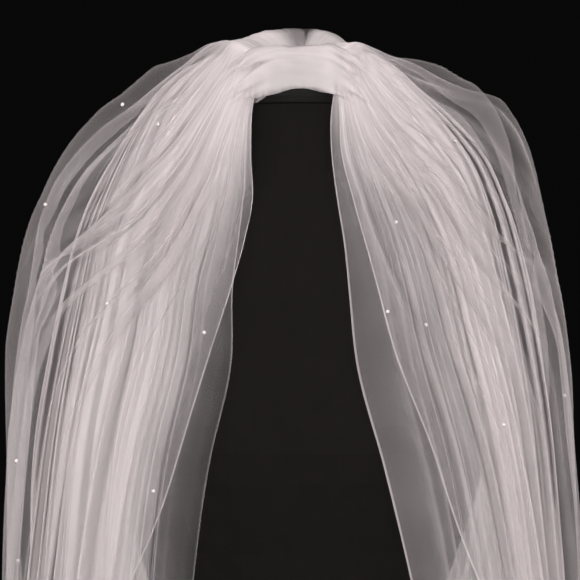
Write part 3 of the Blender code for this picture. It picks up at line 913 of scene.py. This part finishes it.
def pearl_places(tier, points, seed, count):
    """Scattered places on a sheet, each with the direction out of it."""
    rng = np.random.default_rng(seed)
    found = []
    while len(found) < count:
        row = rng.integers(tier.rows // 4, tier.rows - 3)
        column = rng.integers(20, points.shape[1] - 20)
        place = points[row, column]
        if all(np.linalg.norm(place - other) > PEARLS_APART for other, _ in found):
            side = np.cross(points[row, column + 1] - place, points[row + 1, column] - place)
            found.append((place, side / np.linalg.norm(side)))
    return found


def make_pearls(name, places):
    """Small balls on the net at the places, as one mesh."""
    mesh = bmesh.new()
    for place, out in places:
        ball = bmesh.ops.create_icosphere(mesh, subdivisions=2, radius=PEARL_RADIUS * MM)
        centre = Vector(place) + Vector(out) * PEARL_RADIUS * 0.9 * MM
        bmesh.ops.translate(mesh, verts=ball["verts"], vec=centre)
    data = bpy.data.meshes.new(name)
    mesh.to_mesh(data)
    mesh.free()
    data.shade_smooth()
    pearls = add_object(name, data)
    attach(pearls, "root")
    print(name, len(places))
    return pearls


placed = {"upper": [], "lower": []}
unit = FRAME_WIDTH / PICTURE
for number, (across, down) in enumerate(SEEN_PEARLS):
    sight = Vector(((across - PICTURE / 2) * unit, CAMERA_AWAY, (PICTURE / 2 - down) * unit)).normalized()
    tree, tier_name = (upper_tree, "upper") if number % 4 != 2 else (lower_tree, "lower")
    hit, normal, _, _ = tree.ray_cast(camera.location, sight)
    if hit is not None:
        placed[tier_name].append((hit, normal if normal.dot(sight) < 0 else -normal))
placed["upper"] += pearl_places(UPPER_TIER, upper_points, 41, 16)
placed["lower"] += pearl_places(LOWER_TIER, lower_points, 42, 22)
upper_pearls = make_pearls("upper_tier_pearls", placed["upper"])
lower_pearls = make_pearls("lower_tier_pearls", placed["lower"])

# %% [markdown]
# ## Tulle
#
# Tulle is a net of fine threads round hexagonal holes, here 1.6 millimetres from one to the next. Most of it
# is hole, so a flat layer hardly hides what is behind it. Seen at a slant the threads crowd together, and
# every fold shows as a brighter streak. The material follows that: it is part clear and part thread, and the
# part that is thread grows with the slant and with how crowded the net is. Threads are round and let light
# through, so they catch it from in front and from behind alike.

# %% Tulle
NET_PITCH = 0.0016  # metres from hole to hole
STEEPEST = 0.5  # how steep a slant still makes the net look denser


class Nodes:
    """A short way to add and link shader nodes."""

    def __init__(self, name):
        self.material = bpy.data.materials.new(name)
        self.material.use_nodes = True
        self.tree = self.material.node_tree
        self.tree.nodes.clear()

    def add(self, kind, inputs=(), **settings):
        node = self.tree.nodes.new("ShaderNode" + kind)
        for key, value in settings.items():
            setattr(node, key, value)
        for key, value in dict(inputs).items():
            self.join(value, node.inputs[key])
        return node

    def join(self, value, socket):
        if isinstance(value, bpy.types.Node):
            value = value.outputs[0]
        if isinstance(value, bpy.types.NodeSocket):
            self.tree.links.new(value, socket)
        else:
            socket.default_value = value

    def math(self, operation, *values):
        return self.add("Math", dict(enumerate(values)), operation=operation).outputs[0]

    def remap(self, value, to_low, to_high, low=0.0, high=1.0):
        """A value between low and high, stretched to another range and kept in it."""
        ranges = {"From Min": low, "From Max": high, "To Min": to_low, "To Max": to_high}
        return self.add("MapRange", {"Value": value, **ranges})

    def finish(self, surface):
        self.join(surface, self.add("OutputMaterial").inputs["Surface"])
        return self.material


def make_tulle(name, thread_share, colour):
    """Net whose threads cover thread_share of it, seen straight on."""
    nodes = Nodes(name)
    flat_cloth = nodes.add("UVMap", uv_map="flat cloth")
    flat = nodes.add("SeparateXYZ", {0: flat_cloth})
    turns = 2 * math.pi / NET_PITCH
    across = nodes.math("MULTIPLY", flat.outputs["X"], turns)
    half_across = nodes.math("MULTIPLY", across, 0.5)
    down = nodes.math("MULTIPLY", flat.outputs["Y"], turns * math.sqrt(3) / 2)
    slopes = (nodes.math("ADD", half_across, down), nodes.math("SUBTRACT", half_across, down))
    first, second, third = (nodes.math("COSINE", wave) for wave in (across, *slopes))
    holes = nodes.math("ADD", nodes.math("ADD", first, second), third)
    net = nodes.remap(holes, 0.85, 1.12, low=1.6, high=-1.4)
    spots = nodes.add("TexNoise", {"Vector": flat_cloth, "Scale": 14.0, "Detail": 2.0})
    uneven = nodes.remap(spots, 0.85, 1.15, low=0.3, high=0.7)
    slant = nodes.math("SUBTRACT", 1.0, nodes.add("LayerWeight").outputs["Facing"])
    slant = nodes.math("MAXIMUM", slant, STEEPEST)
    crowded = nodes.add("Attribute", attribute_name="crowded").outputs["Fac"]
    from_edge = nodes.add("Attribute", attribute_name="from_edge").outputs["Fac"]
    edge = nodes.remap(from_edge, 0.4, 0.0, low=0.8, high=2.2)
    layers = nodes.math("DIVIDE", crowded, slant)
    threads = nodes.math("MULTIPLY", nodes.math("MULTIPLY", net, uneven), thread_share)
    threads = nodes.math("ADD", threads, edge)
    clear = nodes.math("POWER", nodes.math("SUBTRACT", 1.0, threads), layers)
    facing = nodes.add("Attribute", attribute_name="facing").outputs["Vector"]
    lit_front = nodes.add("BsdfDiffuse", {"Color": colour, "Normal": facing})
    lit_back = nodes.add("BsdfTranslucent", {"Color": colour, "Normal": facing})
    thread = nodes.add("MixShader", {0: 0.5, 1: lit_front, 2: lit_back})
    through = nodes.add("BsdfTransparent")
    return nodes.finish(nodes.add("MixShader", {0: clear, 1: thread, 2: through}))


NET_COLOUR = (0.86, 0.775, 0.78, 1.0)
# The heading's net is the plain net colour darkened: painted shade, for tightly packed threads that shade
# each other.
PAINTED_SHADE_COLOUR = (0.765, 0.69, 0.695, 1.0)  # tightly packed threads shade each other
TULLE = make_tulle("white tulle", 0.18, NET_COLOUR)
SHEER_TULLE = make_tulle("sheer white tulle", 0.094, NET_COLOUR)
PAINTED_SHADE_TULLE = make_tulle("white tulle with painted shade", 0.18, PAINTED_SHADE_COLOUR)
for net, material in ((lower_net, TULLE), (upper_net, SHEER_TULLE), (heading, PAINTED_SHADE_TULLE)):
    net.data.materials.append(material)
    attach(net, "root")
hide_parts("veil_lower_tier")
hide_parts("veil_upper_tier")


# %% [markdown]
# ## Finishes of the form and the comb
#
# The form is covered in matt black jersey, a fine knit that swallows nearly all light. Its neck cap is satin
# black lacquer, and the pole and the foot are enamelled steel with the faint dimples that enamel has. The
# comb is clear plastic. Each finish is a principled shader. A small pattern at its real scale, a number of
# spots to the metre, blends its colour and roughness, and on the jersey, the lacquer and the enamel a finer
# one raises its surface.

# %% Form, comb and pearls
def object_pattern(nodes, kind, scale, detail=None, stretch=1.0):
    """A pattern in object coordinates, drawn out along Z where stretch is under 1."""
    place = nodes.add("Mapping", {"Vector": nodes.add("TexCoord").outputs["Object"]})
    place.inputs["Scale"].default_value = (1.0, 1.0, stretch)
    pattern = nodes.add(kind, {"Vector": place, "Scale": scale})
    if detail is not None:
        pattern.inputs["Detail"].default_value = detail
    return pattern


def make_finish(name, spots, colours, roughness, relief=None, rim=None, **constants):
    """A principled finish. relief starts with its strength and height, and rim tints the colour by spots and
    by slant, which is a painted sheen.
    """
    nodes = Nodes(name)
    pattern = object_pattern(nodes, "TexNoise", *spots)
    tint = pattern
    if rim is not None:
        # The colour shifts with the slant: painted sheen.
        painted_sheen = nodes.math("MULTIPLY", nodes.add("LayerWeight").outputs["Facing"], rim[1])
        tint = nodes.math("ADD", nodes.math("MULTIPLY", pattern, rim[0]), painted_sheen)
    ramp = nodes.add("ValToRGB", {"Fac": tint})
    for element, colour in zip(ramp.color_ramp.elements, colours):
        element.color = (*colour, 1.0)
    rough = nodes.remap(pattern, *roughness)
    shader = nodes.add("BsdfPrincipled", {"Base Color": ramp.outputs["Color"], "Roughness": rough})
    for socket, value in constants.items():
        shader.inputs[socket.replace("_", " ")].default_value = value
    if relief is not None:
        strength, height, *finer = relief
        bump = {"Height": object_pattern(nodes, *finer), "Strength": strength, "Distance": height}
        nodes.join(nodes.add("Bump", bump), shader.inputs["Normal"])
    return nodes.finish(shader)


JERSEY = make_finish(
    "black jersey", (60, 3), ((0.0036, 0.0028, 0.0025), (0.0066, 0.0054, 0.0049)), (0.85, 0.97),
    relief=(0.5, 0.0003, "TexVoronoi", 900, None, 0.7),
    Specular_IOR_Level=0.08, Sheen_Weight=0.02, Sheen_Roughness=0.5,
)
LACQUER = make_finish(
    "black satin lacquer", (22, 2), ((0.003, 0.0026, 0.0024), (0.0046, 0.004, 0.0037)), (0.62, 0.78),
    relief=(0.2, 0.0002, "TexNoise", 260, 4), Specular_IOR_Level=0.08,
)
ENAMEL = make_finish(
    "black enamelled steel", (35, 5, 0.3), ((0.01, 0.01, 0.011), (0.022, 0.021, 0.021)), (0.28, 0.48),
    relief=(0.25, 0.0003, "TexNoise", 420, 2),
)
CLEAR_PLASTIC = make_finish(
    "clear comb plastic", (180, 3), ((0.8, 0.8, 0.79), (0.92, 0.92, 0.91)), (0.1, 0.24),
    Transmission_Weight=0.8, IOR=1.49,
)
# The pearl's colour turns darker and pinker towards its rim by slant: painted sheen.
PEARL = make_finish(
    "pearl", (500, 2), ((0.66, 0.62, 0.6), (0.6, 0.53, 0.53)), (0.16, 0.28), rim=(0.5, 0.6),
    Coat_Weight=0.6, Coat_Roughness=0.08, Specular_IOR_Level=0.6,
)
FLOOR_PAINT = make_finish(
    "pale studio floor", (3, 6), ((0.6, 0.59, 0.575), (0.66, 0.65, 0.635)), (0.55, 0.7)
)
for piece, finish in (
    (nodes["form_torso"], JERSEY),
    (nodes["form_neck_cap"], LACQUER),
    (nodes["form_pole"], ENAMEL),
    (nodes["form_base"], ENAMEL),
    (nodes["comb"], CLEAR_PLASTIC),
    (lower_pearls, PEARL),
    (upper_pearls, PEARL),
    (floor, FLOOR_PAINT),
):
    piece.data.materials.clear()
    piece.data.materials.append(finish)
print("finishes:", ", ".join(sorted(material.name for material in bpy.data.materials)))

# %% Box sizes, for comparison
visual_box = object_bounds()
past_low = [round(a - b, 4) for a, b in zip(cad_box[0], visual_box[0])]
past_high = [round(b - a, 4) for a, b in zip(cad_box[1], visual_box[1])]
print("grows by", past_low, past_high)
